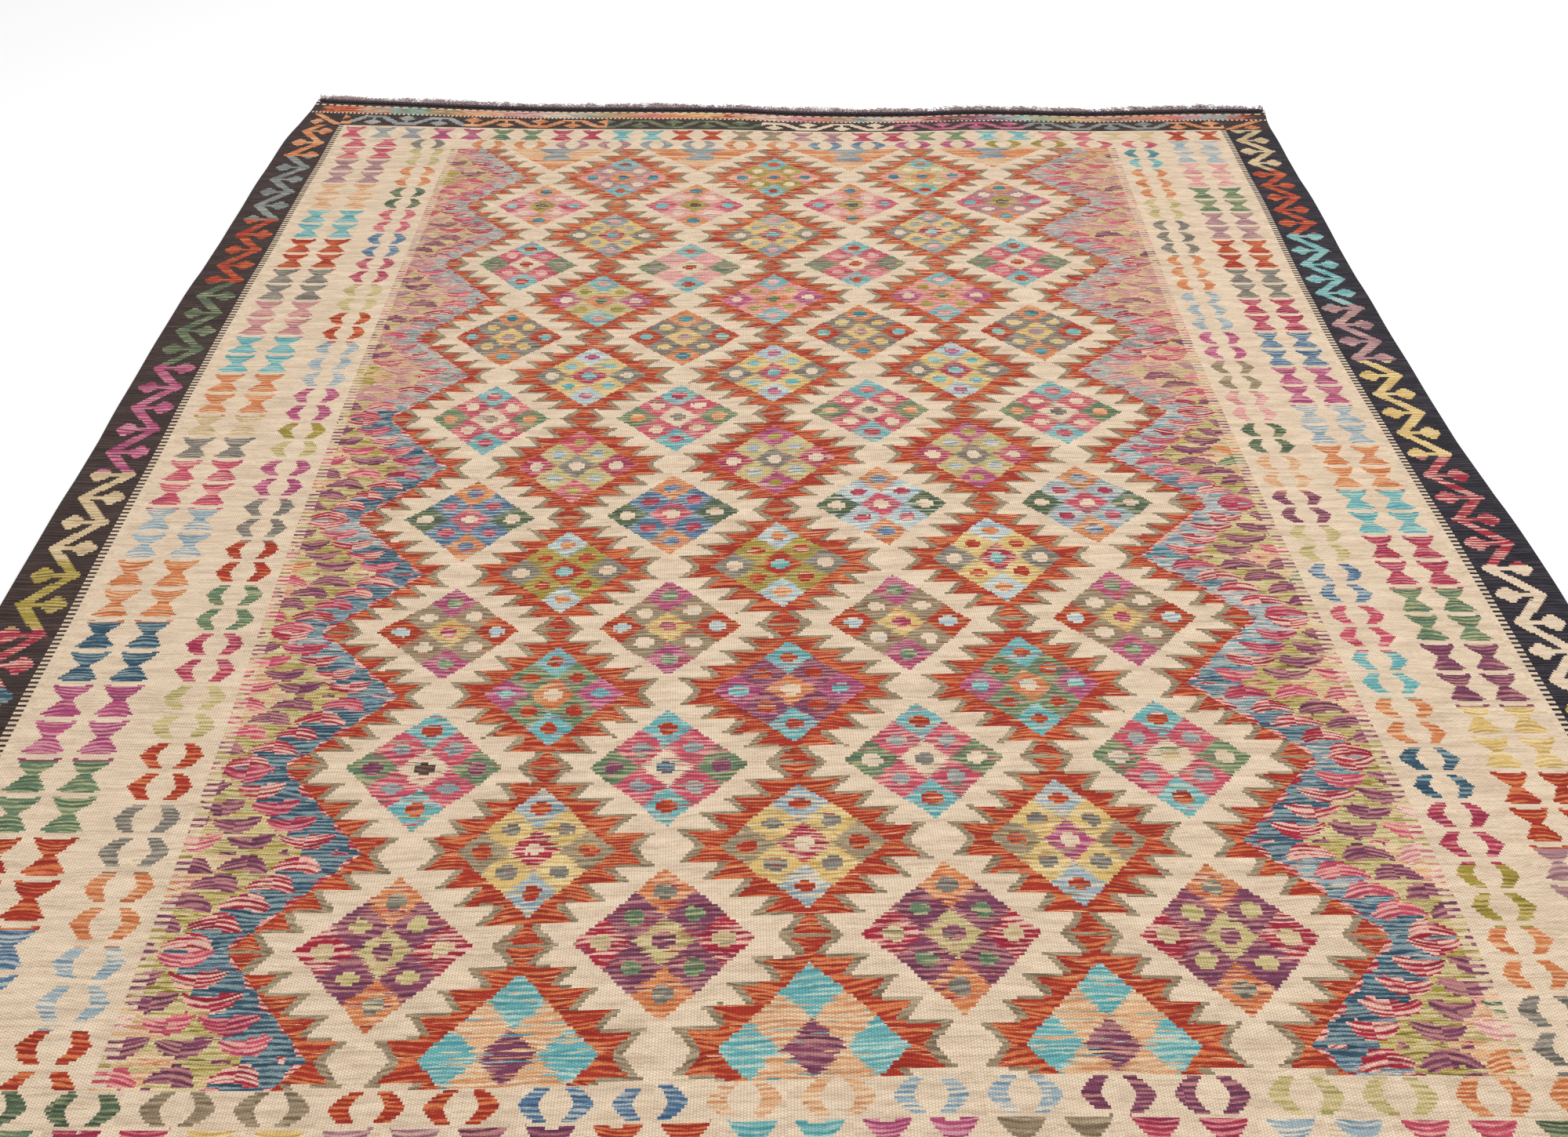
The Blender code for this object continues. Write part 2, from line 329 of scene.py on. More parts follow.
def rug_place(u, v):
    """Where plan points lie on the rug, in millimetres.

    Along is v plus the row table's shift. Past the field's end it runs evenly on to the
    cord's inner edge. Across comes from the column table, whose outermost columns are the
    two selvedges.
    """
    inside = np.clip(v, -FIELD_END, FIELD_END)
    shifts = smooth_curve(ROWS[:, 0], ROWS[:, 1:], inside)
    along = inside + across_table(ROWS_U, shifts, u)
    columns = smooth_curve(COLUMNS[:, 0], COLUMNS[:, 1:], v)
    share = np.clip((np.abs(v) - FIELD_END) / (CLOTH_END - FIELD_END), 0, 1)
    across = across_table(COLUMNS_U, columns, u)
    inset = CORD_WIDTH + CORD_GAP
    for _ in range(3):
        far = end_edge(FAR_EDGE, across, -inset)
        near = end_edge(NEAR_EDGE, across, inset)
        place = along + share * (np.where(v > 0, far, near) - along)
        edges = np.column_stack([selvedge(-1, place), columns, selvedge(1, place)])
        knots = np.concatenate([[-HALF_WIDTH], COLUMNS_U, [HALF_WIDTH]])
        across = across_table(knots, edges, u)
    return across, place


def ripples(across, along):
    """How far the cloth stands off the floor, in millimetres: the sum of a few slow waves.

    Sines of different lengths and directions are added, kept above 0, and grow towards
    the selvedges, where the edge is slacker.
    """
    slack = 0.35 + 1.0 * np.clip((np.abs(across) - 700) / 300, 0, 1) ** 2
    waves = (np.sin(along / 61 + 1.3 * np.sin(across / 310))
             + 0.8 * np.sin(along / 103 + across / 290 + 1.9)
             + 0.5 * np.sin(along / 37 - across / 170 + 0.4))
    long_waves = 0.7 + 0.7 * np.sin(across / 190 + 0.9 * np.sin(along / 420))
    return np.clip(slack * (waves + 0.6) + 0.5 * long_waves, 0, None)


# --------------------------------------------------------------------------- mesh helpers
def new_piece(name, points, faces, materials, zones):
    """A smooth-shaded piece at the origin. zones gives each face's place in materials."""
    mesh = bpy.data.meshes.new(name)
    mesh.from_pydata(points, [], faces)
    mesh.update()
    for material in materials:
        mesh.materials.append(material)
    mesh.polygons.foreach_set("material_index", zones)
    mesh.polygons.foreach_set("use_smooth", np.ones(len(faces), bool))
    piece = bpy.data.objects.new(name, mesh)
    bpy.context.scene.collection.objects.link(piece)
    return piece


def add_attribute(mesh, name, kind, domain, values):
    layer = mesh.attributes.new(name, kind, domain)
    key = "color" if kind == "FLOAT_COLOR" else "vector"
    layer.data.foreach_set(key, np.ascontiguousarray(values, np.float32).ravel())


def set_uv(mesh, name, corners):
    layer = mesh.uv_layers.new(name=name)
    layer.data.foreach_set("uv", np.ascontiguousarray(corners, np.float32).ravel())


# ------------------------------------------------------------------------- shader writing
def sign(operation, swapped=False):
    """One of Value's arithmetic signs: a Math node for the two numbers."""
    def work(first, second):
        pair = (second, first) if swapped else (first, second)
        return first.wool.math(operation, *pair)
    return work


class Value:
    """A number that a node gives, with ordinary arithmetic."""

    __add__ = __radd__ = sign("ADD")
    __mul__ = __rmul__ = sign("MULTIPLY")
    __sub__ = sign("SUBTRACT")
    __rsub__ = sign("SUBTRACT", swapped=True)
    __truediv__ = sign("DIVIDE")
    __pow__ = sign("POWER")
    __lt__ = sign("LESS_THAN")
    __gt__ = sign("GREATER_THAN")

    def __init__(self, wool, socket):
        self.wool, self.socket = wool, socket

    def __abs__(self):
        return self.wool.math("ABSOLUTE", self)

    def __floordiv__(self, size):
        return self.wool.math("FLOOR", self / size)

    def fraction(self):
        return self.wool.math("FRACT", self)

    def stepped(self, steps):
        """The number in whole steps, so that an outline drawn from it is stairs."""
        return ((self * steps) // 1 + 0.5) / steps


class Wool:
    """Writes the nodes of one wool material."""

    def __init__(self, name):
        self.material = bpy.data.materials.new(name)
        self.material.use_nodes = True
        self.tree = self.material.node_tree
        self.shader = self.tree.nodes["Principled BSDF"]

    def node(self, kind, **settings):
        made = self.tree.nodes.new(kind)
        for key, value in settings.items():
            setattr(made, key, value)
        return made

    def join(self, source, target):
        if isinstance(source, Value):
            self.tree.links.new(source.socket, target)
        else:
            target.default_value = source

    def math(self, operation, *inputs):
        made = self.node("ShaderNodeMath", operation=operation)
        for source, target in zip(inputs, made.inputs):
            self.join(source, target)
        return Value(self, made.outputs[0])

    def lower(self, a, b):
        return self.math("MINIMUM", a, b)

    def higher(self, a, b):
        return self.math("MAXIMUM", a, b)

    def clamp(self, value):
        return self.lower(self.higher(value, 0.0), 1.0)

    def from_middle(self, place, middle, pitch):
        """How far a place is from the nearest middle of a row that repeats each pitch."""
        start = middle - pitch / 2
        return self.math("FLOORED_MODULO", place - start, pitch) - pitch / 2

    def either(self, test, if_true, if_false):
        """One of two numbers; test is 1 or 0, or anything between for a blend."""
        made = self.node("ShaderNodeMix")
        self.join(test, made.inputs[0])
        self.join(if_false, made.inputs[2])
        self.join(if_true, made.inputs[3])
        return Value(self, made.outputs[0])

    def layers(self, dye, *layers):
        """The first dye, covered by each layer's dye where the layer's test is 1."""
        for test, cover in layers:
            cover = dye_place(cover) if isinstance(cover, str) else cover
            dye = self.either(test, cover, dye_place(dye) if isinstance(dye, str) else dye)
        return dye

    def either_colour(self, test, if_true, if_false, blend="MIX"):
        made = self.node("ShaderNodeMix", data_type="RGBA", blend_type=blend)
        self.join(test, made.inputs[0])
        self.join(if_false, made.inputs[6])
        self.join(if_true, made.inputs[7])
        return Value(self, made.outputs[2])

    def vector(self, x, y, z=0.0):
        made = self.node("ShaderNodeCombineXYZ")
        for source, target in zip((x, y, z), made.inputs):
            self.join(source, target)
        return Value(self, made.outputs[0])

    def parts(self, source):
        made = self.node("ShaderNodeSeparateXYZ")
        self.join(source, made.inputs[0])
        return [Value(self, out) for out in made.outputs]

    def noise(self, place, scale=1.0, detail=2.0, roughness=0.5):
        """Smooth random numbers about 0.5, and the same as a colour of three."""
        made = self.node("ShaderNodeTexNoise")
        self.join(place, made.inputs["Vector"])
        made.inputs["Scale"].default_value = scale
        made.inputs["Detail"].default_value = detail
        made.inputs["Roughness"].default_value = roughness
        return Value(self, made.outputs["Fac"]), Value(self, made.outputs["Color"])

    def chance(self, x, y):
        """A random number from 0 to 1, the same all over one cell."""
        made = self.node("ShaderNodeTexWhiteNoise", noise_dimensions="2D")
        self.join(self.vector(x, y), made.inputs["Vector"])
        return Value(self, made.outputs["Value"])

    def attribute(self, name):
        made = self.node("ShaderNodeAttribute", attribute_name=name)
        return Value(self, made.outputs["Color"]), Value(self, made.outputs["Alpha"])

    def ramp(self, place, stops):
        """A ramp of flat colours, one from each stop to the next."""
        made = self.node("ShaderNodeValToRGB")
        ramp = made.color_ramp
        ramp.interpolation = "CONSTANT"
        for element, (position, colour) in zip(ramp.elements, stops):
            element.position, element.color = position, colour
        for position, colour in stops[2:]:
            ramp.elements.new(position).color = colour
        self.join(place, made.inputs[0])
        return Value(self, made.outputs[0])

    def dye_ramp(self, place, starts):
        """The place of a dye, from the dyes' names and where on the ramp each starts."""
        return self.ramp(place, [(at, [dye_place(name)] * 3 + [1.0]) for name, at in starts])

    def run(self, beat, runs):
        """The dye of each motif along a border, from its runs of colour."""
        ends = np.cumsum([0.0] + [count for _, count in runs])
        starts = [(name, float(end / ends[-1])) for (name, _), end in zip(runs, ends)]
        return self.dye_ramp(beat / float(ends[-1]), starts)

    def either_run(self, test, beat, if_true, if_false):
        return self.either(test, self.run(beat, if_true), self.run(beat, if_false))

    def plan_place(self):
        """u and v in millimetres, straight from the cloth's own map."""
        made = self.node("ShaderNodeUVMap", uv_map="pattern")
        u, v, _ = self.parts(Value(self, made.outputs[0]))
        return u * 1000, v * 1000

    def woven_place(self, u, v, wander):
        """The plan place of the stair, one warp by a few wefts, that a point is in."""
        whole_u = (u // WARP + 0.5) * WARP
        whole_v = (v // STEP_V + 0.5) * STEP_V
        _, drift = self.noise(self.vector(whole_u, whole_v), 1 / 70, 1.0)
        du, dv, _ = self.parts(drift)
        return whole_u + (du - 0.5) * (4 * wander), whole_v + (dv - 0.5) * (4 * wander)

    def finish(self, colour, height, roughness, sheen, relief, depth):
        """Joins the colour and the height of the yarn to the shader, as matte wool."""
        self.join(colour, self.shader.inputs["Base Color"])
        for name, value in (("Roughness", roughness), ("Specular IOR Level", 0.12),
                            ("Sheen Weight", sheen), ("Sheen Roughness", 0.5)):
            self.shader.inputs[name].default_value = value
        bump = self.node("ShaderNodeBump")
        bump.inputs["Strength"].default_value = relief
        bump.inputs["Distance"].default_value = depth
        self.join(height, bump.inputs["Height"])
        self.tree.links.new(bump.outputs[0], self.shader.inputs["Normal"])
        return self.material


def rectangle(x, low, high):
    """1 between low and high, otherwise 0."""
    return (x > low) * (x < high)


def finish_wool(wool, u, v, place, break_up, bend=0.0, paler=0.0):
    """Colours the wool at its place on the ramps of dyes, and gives it yarn and weave.

    Pale and dark passes of yarn come every few wefts, here and there: a sine across the
    wefts plus long thin noise, and a higher paler gives more pale ones. The wefts follow v
    plus the bend. Ribs follow the warp, and each weft is a row of beads half a step further
    on from one rib to the next. The colour is also painted darker in the hollows between
    ribs and beads: painted shade of the weave.
    """
    main, pale_yarn, dark_yarn = (
        wool.ramp(place, [(i / len(DYES), linear(dye[part])) for i, dye in enumerate(DYES.values())])
        for part in range(3))
    bow, _ = wool.noise(wool.vector(u, v), 1 / 60, 0.0)
    weft = v + (bow - 0.5) * 7 + bend
    fine, _ = wool.noise(wool.vector(u / 6, v / 1.6, 3.0), 1.0, 2.0, 0.7)
    drift, _ = wool.noise(wool.vector(u / 90, weft / 30, break_up * 37), 1.0, 0.0)
    _, both = wool.noise(wool.vector(u / 54, weft / 11, break_up * 41), 1.0, 2.5, 0.62)
    _, pale, dark = wool.parts(both)
    turn = weft * (2 * math.pi / YARN_PASS) + drift * 16
    passes = wool.math("SINE", turn) * 0.8 + (fine - 0.5) * 2.2
    streak, contrast, strength = 7.0, 0.8, 0.85
    amount = wool.clamp((passes + (pale - 0.5) * streak + 0.15 + paler) * contrast)
    colour = wool.either_colour(amount * strength, pale_yarn, main)
    deep = wool.clamp(((dark - 0.5) * streak - passes - 0.1) * contrast)
    colour = wool.either_colour(deep * strength, dark_yarn, colour)
    # Each batch of yarn is a little lighter or darker, and so is each pass of it.
    broad, _ = wool.noise(wool.vector(u / 80, v / 21, 9.0), 1.0, 3.0, 0.68)
    rib = abs(wool.math("SINE", u * (math.pi / WARP) + fine * 0.7))
    odd = wool.math("PINGPONG", u // WARP, 1.0)
    bead = abs(wool.math("SINE", v * (math.pi / BEAD) + odd * (math.pi / 2) + fine * 0.9))
    height = (rib ** 0.8 * 0.6 + 0.4) * (bead * 0.65 + 0.35)
    # The first two factors are the yarn's own tone; the last is painted shade, darkening the colour
    # in the hollows between ribs and beads.
    tone_and_painted_shade = (0.71 + fine * 0.58) * (0.77 + broad * 0.46) * (0.66 + height * 0.54)
    colour = wool.either_colour(1.0, wool.vector(tone_and_painted_shade, tone_and_painted_shade, tone_and_painted_shade), colour, "MULTIPLY")
    return wool.finish(colour, height + fine * 0.45, 0.93, 0.05, 0.6, 0.001)


# ---------------------------------------------------------------------------- the motifs
def lozenge_part(wool, p, q, slip):
    """Which of a lozenge's nine small diamonds a point is in, and whether in its eye.

    p and q run from -1 to 1 along the lozenge's two diagonals. Gives 1 or 0 for the tip,
    side and middle diamonds, and for the cross in the diamond's middle. The slip moves
    each pass of weft a little, so neighbouring dyes run into one another.
    """
    half_across, half_along = 29, 34.3      # of a small diamond, in millimetres
    eye_reach, eye_arm = 10.6, 6.0          # half the cross's size, half its arm's width
    s, t = (p + q + 1) * 1.5, (p - q + 1) * 1.5
    near_s, near_t = s.fraction() - 0.5, t.fraction() - 0.5
    x, y = abs(near_s + near_t) * half_across, abs(near_s - near_t) * half_along
    eye = (wool.higher(x, y) < eye_reach) * (wool.lower(x, y) < eye_arm)
    across = wool.lower(wool.higher(s + slip, 0.0), 2.9) // 1
    down = wool.lower(wool.higher(t + slip, 0.0), 2.9) // 1
    tip = abs(across - down) > 1.5
    side = abs(across + down - 2) > 1.5
    middle = (abs(across - 1) + abs(down - 1)) < 0.5
    return tip, side, middle, eye


def flame_dye(wool, u, along, by, far, thread):
    """The dye of the flames, how far a point is across its boat, and its batch of yarn.

    Rounded boats stand in columns that follow the zigzag outwards, one boat a row. The
    rows sag by 6 mm times the square of the way across a column. f runs from 0 at a
    boat's flat end to 1 at its round one, and its half-width is 24 to 31 mm, or 12 mm less
    beside the zigzag, times sqrt(1 - f^2). Bands of other dyes fill the space between
    columns. The thread is the place of one pass of weft: here and there a pass of a boat's
    dye runs into the band, or the other way round.
    """
    level = abs(by)
    out = abs(u) - FLAME_FOOT - level * ZIGZAG - 53
    half_pitch = FLAME_PITCH / 2
    sag = (out - wool.math("ROUND", out / FLAME_PITCH) * FLAME_PITCH) / half_pitch
    rows = (level + 2 - sag * sag * 6) / ROW
    row = rows // 1
    f = (1 - (rows - row)) / 0.8
    out = abs(u) - (FLAME_FOOT + 64) - row * (ROW * ZIGZAG)
    column = wool.math("ROUND", out / FLAME_PITCH)
    across = out - column * FLAME_PITCH
    side = wool.math("SIGN", u)
    batch = (along - BAND_ROW) // (PITCH_V / 2) * 9 + row + side * 500
    luck = wool.chance(batch, column)
    size = 24 + 7 * wool.chance(batch + 0.5, column) - (column < -0.5) * 12
    half = wool.math("SQRT", wool.higher(1 - f * f, 0.0)) * size
    stray, twist = wool.noise(thread, 1.0, 1.0)
    band = wool.higher(out // FLAME_PITCH + 1, 0.0)
    on_boat = (abs(across) < half) * (column > -1.5)
    boat = abs(on_boat - (abs(stray - 0.5) > (0.25 - far * 0.08)))
    slow, _ = wool.noise(wool.vector(along / 90, band * 7, side * 4), 1.0, 1.0)
    # The innermost band is a deeper blue on the left, and turns so towards the near end.
    deep = (wool.clamp((-560 - along) / 260) * 0.4 + (u < 0) * 0.3) * (band < 0.5) * (1 - far)
    slow = slow + deep / 2.2 + (wool.parts(twist)[1] - 0.5) * (0.5 + far * 0.6)
    spot = column + luck * 0.98
    band_spot = band + wool.clamp((slow - 0.5) * 2.2 + 0.5) * 0.98
    dye = wool.either(boat, flame_ramp(wool, spot, far, FAR_BOATS, NEAR_BOATS),
                      flame_ramp(wool, band_spot, far, FAR_BANDS, NEAR_BANDS))
    return dye, across * on_boat, batch * 0.17 + band * 0.3 + boat * 0.11


def flame_ramp(wool, spot, far, far_starts, near_starts):
    """The dye at a spot, in columns out from the zigzag, of which there are up to four."""
    far_dye, near_dye = (wool.dye_ramp(spot / 4, [(name, at / 4) for name, at in starts])
                         for starts in (far_starts, near_starts))
    return wool.either(far, far_dye, near_dye)


def charted_dyes(wool, in_open, kind):
    """Three dyes as one colour, and the fourth, of the lozenge that a point is in."""
    open_dyes, open_last = wool.attribute("open" + kind)
    band_dyes, band_last = wool.attribute("band" + kind)
    return (wool.either_colour(in_open, open_dyes, band_dyes),
            wool.either(in_open, open_last, band_last))


def field_wool():
    """The field: ivory ground, lozenges of nine diamonds, toothed rust bands, flames."""
    wool = Wool("field_wool")
    u, v = wool.plan_place()
    su, sv = wool.woven_place(u, v, 2.4)
    # The lozenges in the open spaces (a) and those within the toothed bands (b).
    ax = wool.from_middle(su, PITCH_U / 2, PITCH_U)
    ay = wool.from_middle(sv, OPEN_ROW, PITCH_V)
    bx = wool.from_middle(su, 0.0, PITCH_U)
    by = wool.from_middle(sv, BAND_ROW, PITCH_V)
    in_a = (abs(ax) / OPEN_HALF[0] + abs(ay) / OPEN_HALF[1]) < 1.0
    p = wool.either(in_a, ax / OPEN_HALF[0], bx / BAND_HALF[0])
    q = wool.either(in_a, ay / OPEN_HALF[1], by / BAND_HALF[1])
    in_lozenge = (abs(p) + abs(q)) < 1.0
    slip, _ = wool.noise(wool.vector(u / 60, v / 3.4, 5.0), 1.0, 1.0)
    tip, side, middle, eye = lozenge_part(wool, p, q, (slip - 0.5) * 0.4)
    fills, last_fill = charted_dyes(wool, in_a, "_fill")
    eyes, last_eye = charted_dyes(wool, in_a, "_eye")
    tip_dye, side_dye, edge_dye = wool.parts(wool.either_colour(eye, eyes, fills))
    last = wool.either(eye, last_eye, last_fill)
    inside = wool.layers(edge_dye, (middle, last), (side, side_dye), (tip, tip_dye))
    # A pass here and there is woven in the dye of the diamond beside it.
    stray, _ = wool.noise(wool.vector(u / 50, v / 4.2, 8.0), 1.0, 1.0)
    inside = wool.layers(inside, (stray < 0.345, side_dye), (stray > 0.655, edge_dye))
    # The half lozenges at the far end: peach, with a grey-blue hourglass.
    down = FIELD_END - sv
    wide = wool.higher(46 - down * 1.2, wool.lower(down * 1.1 - 20, 27.0)) * (down < 60)
    warm = wool.layers("peach", (wool.chance(down // 11, su // PITCH_U) > 0.55, "orange"))
    half_inside = wool.layers(warm, (abs(ax) < wide, "grey_blue"))
    in_row = abs(su) < LOZENGE_REACH
    in_half = (sv > 1083) * (abs(ax) < (108 - down * 0.965)) * in_row
    # The toothed bands.
    rows = abs(by) / ROW
    row = rows // 1
    g = rows - row
    step = row * TOOTH_STEP
    half = TOOTH_REACH - step + g ** 1.3 * 20
    reach = abs(bx)
    in_band = reach < half
    under_tooth = (g > 0.9) * (reach > (TOOTH_REACH - TOOTH_STEP - step))
    shadow = wool.higher(reach > (half - TOOTH_SHADOW), under_tooth)
    # More passes of the teeth are orange towards the far end.
    orange_pass = slip > (0.64 - wool.clamp(v / 1100) * 0.10)
    rust_dye = wool.layers("rust", (orange_pass, "orange"))
    band_dye = wool.layers(rust_dye, (shadow, "taupe"))
    # The rust beside the zigzag, and the flames beyond it.
    fine_by = wool.from_middle(v, BAND_ROW, PITCH_V)
    past = abs(u) - FLAME_FOOT - abs(fine_by) * ZIGZAG
    rust_side = (abs(u) > LOZENGE_SIDE) * (in_band < 0.5) * (past < 0)
    far = v > 120
    thread = wool.vector(u / 42, v / 3.4 - abs(fine_by) / 40, 6.0)
    flame, boat_side, batch = flame_dye(wool, su, sv, by, far, thread)
    flaming = past > 0
    comb = (abs(u) > INNER_COMB) * ((v / COMB_PITCHES[0]).fraction() > 0.5)
    dye = wool.layers("ivory", (in_band, band_dye), (in_lozenge * in_row, inside),
                      (in_half, half_inside), (rust_side, rust_dye), (flaming, flame),
                      (comb, "ivory"))
    break_up = dye + wool.either(flaming, batch, in_band * (sv // ROW * 0.13))
    # The wefts curve over each boat and each tooth, towards the lozenges' own level.
    tooth_side = (reach - half + 42) * in_band
    curve = wool.either(flaming, boat_side * boat_side / 90, tooth_side * tooth_side / 230)
    bend = curve * wool.math("SIGN", by) * (wool.either(flaming, 1.0, 1 - in_lozenge)) * -1
    return finish_wool(wool, u, v, dye, break_up, bend, flaming * (0.35 - far * 0.25))


def hourglass(wool, across, f, half=23.5, waist=6.5):
    """1 inside an hourglass: a bowl above, a bell below and an ivory line between two.

    The bowl's half-width falls from its rim as 1 - (f / 0.47)^1.7, and the bell's grows
    from the waist as ((f - 0.5) / 0.41)^0.9.
    """
    bowl = (1 - (f / 0.47) ** 1.7) * (half - waist)
    bell = wool.higher((f - 0.5) / 0.41, 0.0) ** 0.9 * (half - waist)
    width = wool.higher(wool.higher(bowl, bell), 0.0) + waist
    sag = across * across / 9000
    return (across < wool.lower(width, half)) * rectangle(f + sag, 0.10, 0.955)


def bowl_curve(wool, across, f):
    """How far the wefts curve in an hourglass: up at the sides above, down below."""
    return across * across / 80 * wool.clamp(1 - across / 60) * (wool.clamp(f * 8 - 3.5) * 2 - 1)


def brackets(wool, across, f):
    """1 inside a pair of brackets; f runs from -1 to 1 over their height.

    Both curves go as a power of 1 - |f|: the outer from 18.5 to 35.5 mm out, and the inner
    from 5 to 16.5.
    """
    slope = wool.higher(1 - abs(f), 0.0)
    outer = slope ** 0.65 * 17 + 18.5
    inner = slope ** 0.6 * 11.5 + 5
    return (across < outer) * (across > inner) * (abs(f) < 1.0)


def start_border(name, wander, counts):
    """A border's wool, its plan place, its stair's place and the motifs counted so far."""
    wool = Wool(name)
    u, v = wool.plan_place()
    motifs, _ = wool.attribute(counts)
    return wool, u, v, wool.woven_place(u, v, wander), wool.parts(motifs)


def side_wool():
    """The ivory side borders: a column of brackets and two of hourglasses."""
    wool, u, v, (su, _), (hour, ring, _) = start_border("side_border_wool", 1.6, "side_beats")
    right = u > 0
    hour_f = hour.stepped(20).fraction()
    ring_f = ring.stepped(13).fraction()
    size = abs(su)
    two = abs(abs(size - HOURGLASS_COLUMN) - HOURGLASS_OFFSET)
    in_hour = hourglass(wool, two, hour_f) * (size > 765)
    in_ring = brackets(wool, abs(size - BRACKET_COLUMN), (ring_f - 0.5) / 0.42)
    hour_dye = wool.either_run(right, hour, RIGHT_HOURGLASSES, LEFT_HOURGLASSES)
    ring_dye = wool.either_run(right, ring, RIGHT_BRACKETS, LEFT_BRACKETS)
    dye = wool.layers("ivory", (in_hour, hour_dye), (in_ring * (abs(v) < FIELD_END), ring_dye))
    bend = bowl_curve(wool, two, hour_f) * in_hour
    return finish_wool(wool, u, v, dye, dye + hour // 1 * 0.31, bend)


def vine(wool, out, beat):
    """1 on a vine that turns twice a beat, with a leaf on a stem inside each turn.

    out is the distance from the border's middle line, in millimetres.
    """
    turn_out, half_line, half_beat = 23, 8.6, 66
    swing = abs(beat.fraction() * 2 - 1)         # 1 at an outer turn, 0 at an inner one
    line = abs(out - (swing * 2 - 1) * turn_out) < half_line
    side = wool.either(swing > 0.5, -1.0, 1.0)
    off = wool.lower(1 - swing, swing) * half_beat      # along the border, from the turn
    reach = out * side
    leaf = ((abs(reach - 17.5) / 16) ** 1.25 + (off / 19.5) ** 1.25) < 1.0
    stem = (off < 3.0) * rectangle(reach, -16, 4)
    return wool.higher(line, wool.higher(leaf, stem))


def end_vine(wool, out, beat):
    """The same across an end: its turns are flat, and the leaves nest in the hollows."""
    turn_out, half_beat = 17, 70
    swing = abs(beat.fraction() * 2 - 1)
    wave = wool.higher(wool.lower((swing * 2 - 1) * 2, 1.0), -1.0)
    slant = abs(wave) < 0.98
    line = abs(out - wave * turn_out) < (slant * 3.5 + 6.0)
    side = wool.either(swing > 0.5, -1.0, 1.0)
    off = wool.lower(1 - swing, swing) * half_beat
    leaf = (abs(out * side - 11) / 16 + off / 19) < 1.0
    stem = (off < 3.0) * rectangle(out * side, -11, 0)
    return wool.higher(line, wool.higher(leaf, stem))


def dark_wool():
    """The dark side borders: an ivory comb, then a vine."""
    wool, u, v, (su, _), (_, _, beat) = start_border("dark_border_wool", 1.2, "side_beats")
    right = u > 0
    on_vine = vine(wool, abs(su) - VINE_LINE, beat.stepped(28))
    on_vine = on_vine * rectangle(abs(su), DARK_SIDE + 4, 990)
    vine_dye = wool.either_run(right, beat, RIGHT_VINE, LEFT_VINE)
    tooth = (v / COMB_PITCHES[1]).fraction() > 0.5
    comb = (abs(u) < DARK_SIDE) * wool.higher(tooth, abs(u) < OUTER_COMB)
    dye = wool.layers("warm_dark", (right, "cool_dark"), (on_vine, vine_dye), (comb, "ivory"))
    return finish_wool(wool, u, v, dye, dye)


def end_rows_wool():
    """The ivory end borders: a row of brackets, then a row of hourglasses."""
    wool, u, v, (_, sv), (ring, hour, _) = start_border("end_border_wool", 1.6, "end_beats")
    far = v > 0
    out = abs(sv) - FIELD_END
    across = abs(hour.fraction() - 0.5) * 61.5
    near_side, far_side = END_HOURGLASSES
    f = wool.either(far, far_side - out, out - near_side) / (far_side - near_side)
    in_hour = hourglass(wool, across, f) * rectangle(f, 0, 1)
    ring_across = abs(ring.fraction() - 0.5) * 86
    in_ring = brackets(wool, ring_across, (out - END_BRACKETS) / 21.5)
    hour_dye = wool.either_run(far, hour, FAR_HOURGLASSES, NEAR_HOURGLASSES)
    ring_dye = wool.either_run(far, ring, FAR_BRACKETS, NEAR_BRACKETS)
    dye = wool.layers("ivory", (in_hour, hour_dye), (in_ring, ring_dye))
    bend = bowl_curve(wool, across, f) * in_hour
    return finish_wool(wool, u, v, dye, dye + hour // 1 * 0.31, bend)


def end_band_wool():
    """The outer end borders: a dark vine, then a striped band between dotted lines."""
    wool, u, v, (su, sv), (_, hour, beat) = start_border("end_band_wool", 1.2, "end_beats")
    out = abs(sv) - FIELD_END
    on_vine = end_vine(wool, out - END_VINE_LINE, beat.stepped(46))
    on_vine = on_vine * rectangle(out, 118, 171)
    # In each corner a slanting line leads to a small knot.
    slant = abs(abs(su) - 915 - (out - 116) * 1.15) < 9
    knot = (abs(abs(su) - 965) / 17 + abs(out - 130) / 15) < 1.0
    in_corner = wool.higher(slant, knot) * rectangle(out, 117, 170)
    on_vine = wool.either(abs(su) > 912, in_corner, on_vine)
    vine_dye = wool.either_run(v > 0, beat, FAR_VINE, NEAR_VINE)
    # The striped band, whose stripes slip past one another, and its dotted lines.
    smooth_out = abs(v) - FIELD_END
    slip, _ = wool.noise(wool.vector(u / 34, v / 2.4), 1.0, 1.0)
    mixed = wool.run(hour * 0.95 + (slip - 0.5) * 6, END_BAND)
    frayed = abs(u) < (966 + (slip - 0.5) * 90)
    in_band = rectangle(smooth_out, *STRIPED_BAND) * frayed
    fine_dots = rectangle(smooth_out, *FINE_DOTS) * ((u / 9.0).fraction() > 0.5)
    dots = rectangle(smooth_out, *COARSE_DOTS) * ((u / 18.0).fraction() > 0.42)
    dye = wool.layers("warm_dark", (on_vine, vine_dye), (in_band, mixed),
                      (wool.higher(fine_dots, dots), "ivory"))
    return finish_wool(wool, u, v, dye, dye)


# ------------------------------------------------------------------------------ the cloth
def beats(tables, places):
    """Motifs counted so far at each place, one column for each table."""
    columns = []
    for table in tables:
        knots, counts = np.array(sorted(table), float).T
        slope = (counts[-1] - counts[0]) / (knots[-1] - knots[0])
        beyond = np.where(places < knots[0], places - knots[0],
                          np.where(places > knots[-1], places - knots[-1], 0.0))
        columns.append(np.interp(places, knots, counts) + beyond * slope)
    return np.column_stack(columns)


